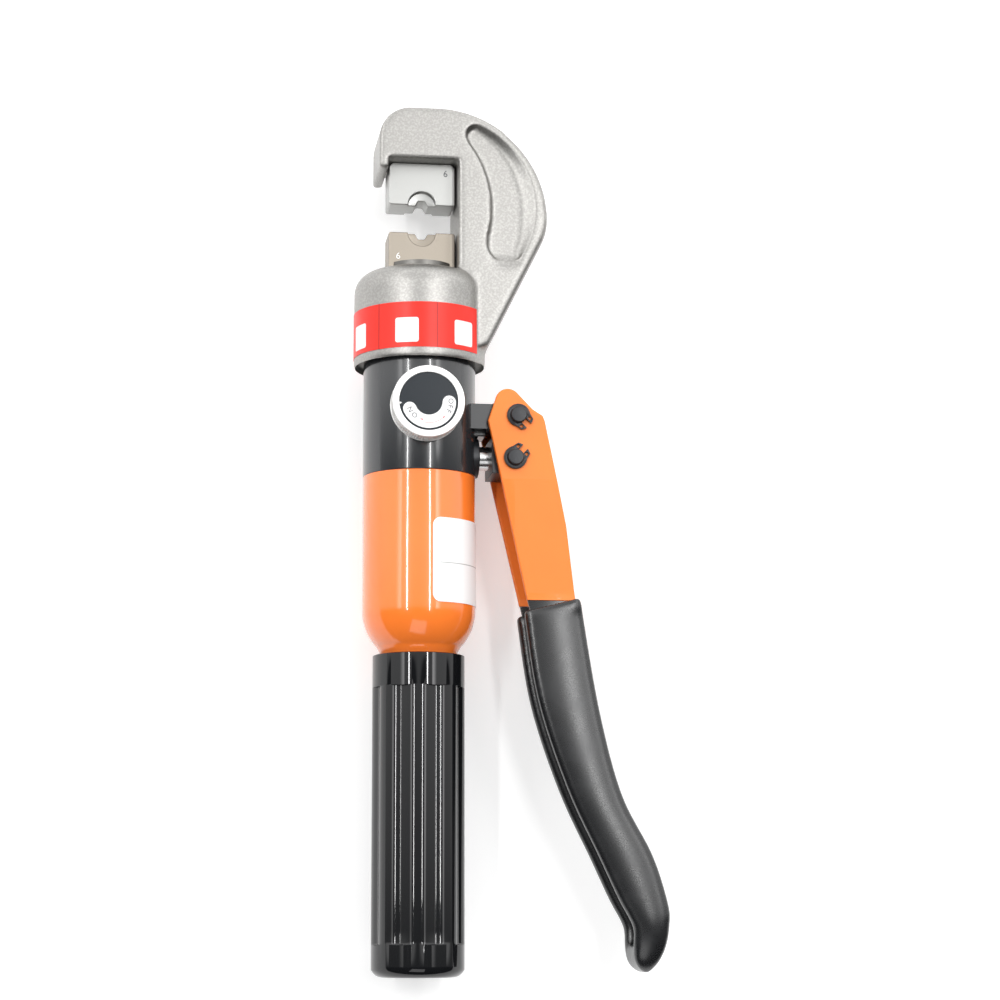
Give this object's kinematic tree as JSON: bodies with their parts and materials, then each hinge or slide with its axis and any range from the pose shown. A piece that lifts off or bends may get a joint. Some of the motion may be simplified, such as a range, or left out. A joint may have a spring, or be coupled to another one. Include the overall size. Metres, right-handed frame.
{
  "type": "hydraulic crimping tool",
  "caption": "Hand-pumped hydraulic crimping tool with an open C head, replaceable dies, a red-banded collar, a release knob, a fluted grip and a sleeved pump lever.",
  "frame": {"origin": "centre of the flat butt face of the fixed grip, on the tool axis", "axes": "+Y along the tool from the butt to the head, +X to the lever side, +Z to the knob side; the tool lies as in the picture"},
  "size_m": [0.1155, 0.3225, 0.0572],
  "materials": {
    "black_paint": "gloss black paint",
    "orange_paint": "gloss orange paint",
    "grip_plastic": "gloss black moulded plastic",
    "plain_steel": "plain turned steel",
    "brass": "turned brass",
    "rubber": "oil-proof rubber",
    "hard_steel": "ground hard steel",
    "spring_steel": "spring wire",
    "label_white": "blank white label",
    "knob_bright": "bright knurled metal",
    "dial_black": "black printed dial",
    "plated_forging": "satin plated forging",
    "label_red": "red vinyl band",
    "die_steel": "plated die steel",
    "die_bronzed": "die steel with a brown tint",
    "white_ring": "white backup ring",
    "dipped_vinyl": "satin dipped vinyl",
    "black_oxide": "blackened steel"
  },
  "bodies": {
    "body": {"pump_body": "black_paint", "reservoir_shell": "orange_paint", "handle_grip": "grip_plastic", "handle_tube": "plain_steel", "tube_plug": "brass", "oil_bladder": "rubber", "bladder_clamp": "plain_steel", "suction_strainer": "brass", "inlet_plug": "brass", "inlet_spring": "spring_steel", "outlet_plug": "brass", "outlet_spring": "spring_steel", "relief_screw": "black_oxide", "relief_spring": "spring_steel", "pump_gland": "plain_steel", "plunger_seal": "rubber", "release_bush": "plain_steel", "release_oring": "rubber", "swivel_ring": "spring_steel", "side_label": "label_white"},
    "head": {"head_frame": "plated_forging", "collar_band": "label_red", "upper_die": "die_steel", "upper_die_screw": "black_oxide", "ram_wiper": "rubber", "return_spring": "spring_steel"},
    "ram": {"ram": "hard_steel", "piston_seal": "rubber", "backup_ring": "white_ring", "lower_die": "die_bronzed", "lower_die_screw": "black_oxide"},
    "plunger": {"plunger": "hard_steel", "crosshead": "black_oxide"},
    "lever": {"lever_channel": "orange_paint", "lever_sleeve": "dipped_vinyl", "pivot_pin": "black_oxide", "drive_pin": "black_oxide", "circlips": "black_oxide"},
    "knob": {"knob": "knob_bright", "knob_dial": "dial_black", "knob_screw": "black_oxide", "release_spindle": "plain_steel"},
    "inlet_valve": {"inlet_ball": "hard_steel"},
    "outlet_valve": {"outlet_ball": "hard_steel"},
    "relief_valve": {"relief_ball": "hard_steel"}
  },
  "joints": [
    {"name": "head_swivel", "type": "hinge", "parent": "body", "child": "head", "pos_m": [0, 0.24, 0], "axis": [0, 1, 0], "range_deg": [-90, 90]},
    {"name": "ram_slide", "type": "slide", "parent": "head", "child": "ram", "axis": [0, 1, 0], "range_m": [0, 0.0104], "stiffness_N_per_m": 3000, "springref_m": -0.008, "deforming": ["return_spring"]},
    {"name": "lever_swing", "type": "hinge", "parent": "body", "child": "lever", "pos_m": [0.0355, 0.20511, 0], "axis": [0, 0, 1], "range_deg": [-12, 40]},
    {"name": "plunger_slide", "type": "slide", "parent": "body", "child": "plunger", "axis": [1, 0, 0], "range_m": [-0.0034, 0.011]},
    {"name": "knob_turn", "type": "hinge", "parent": "body", "child": "knob", "pos_m": [0, 0.2058, 0.03], "axis": [0, 0, 1], "range_deg": [0, 90]},
    {"name": "inlet_lift", "type": "slide", "parent": "body", "child": "inlet_valve", "axis": [0, 1, 0], "range_m": [0, 0.0008], "stiffness_N_per_m": 60, "springref_m": -0.001, "deforming": ["inlet_spring"]},
    {"name": "outlet_lift", "type": "slide", "parent": "body", "child": "outlet_valve", "axis": [0, 1, 0], "range_m": [0, 0.0008], "stiffness_N_per_m": 60, "springref_m": -0.001, "deforming": ["outlet_spring"]},
    {"name": "relief_lift", "type": "slide", "parent": "body", "child": "relief_valve", "axis": [0, 0, -1], "range_m": [0, 0.0006], "stiffness_N_per_m": 100, "springref_m": -0.002, "deforming": ["relief_spring"]}
  ],
  "couplings": [
    {"joint": "plunger_slide", "follows": "lever_swing", "m_per_rad": 0.0154}
  ]
}
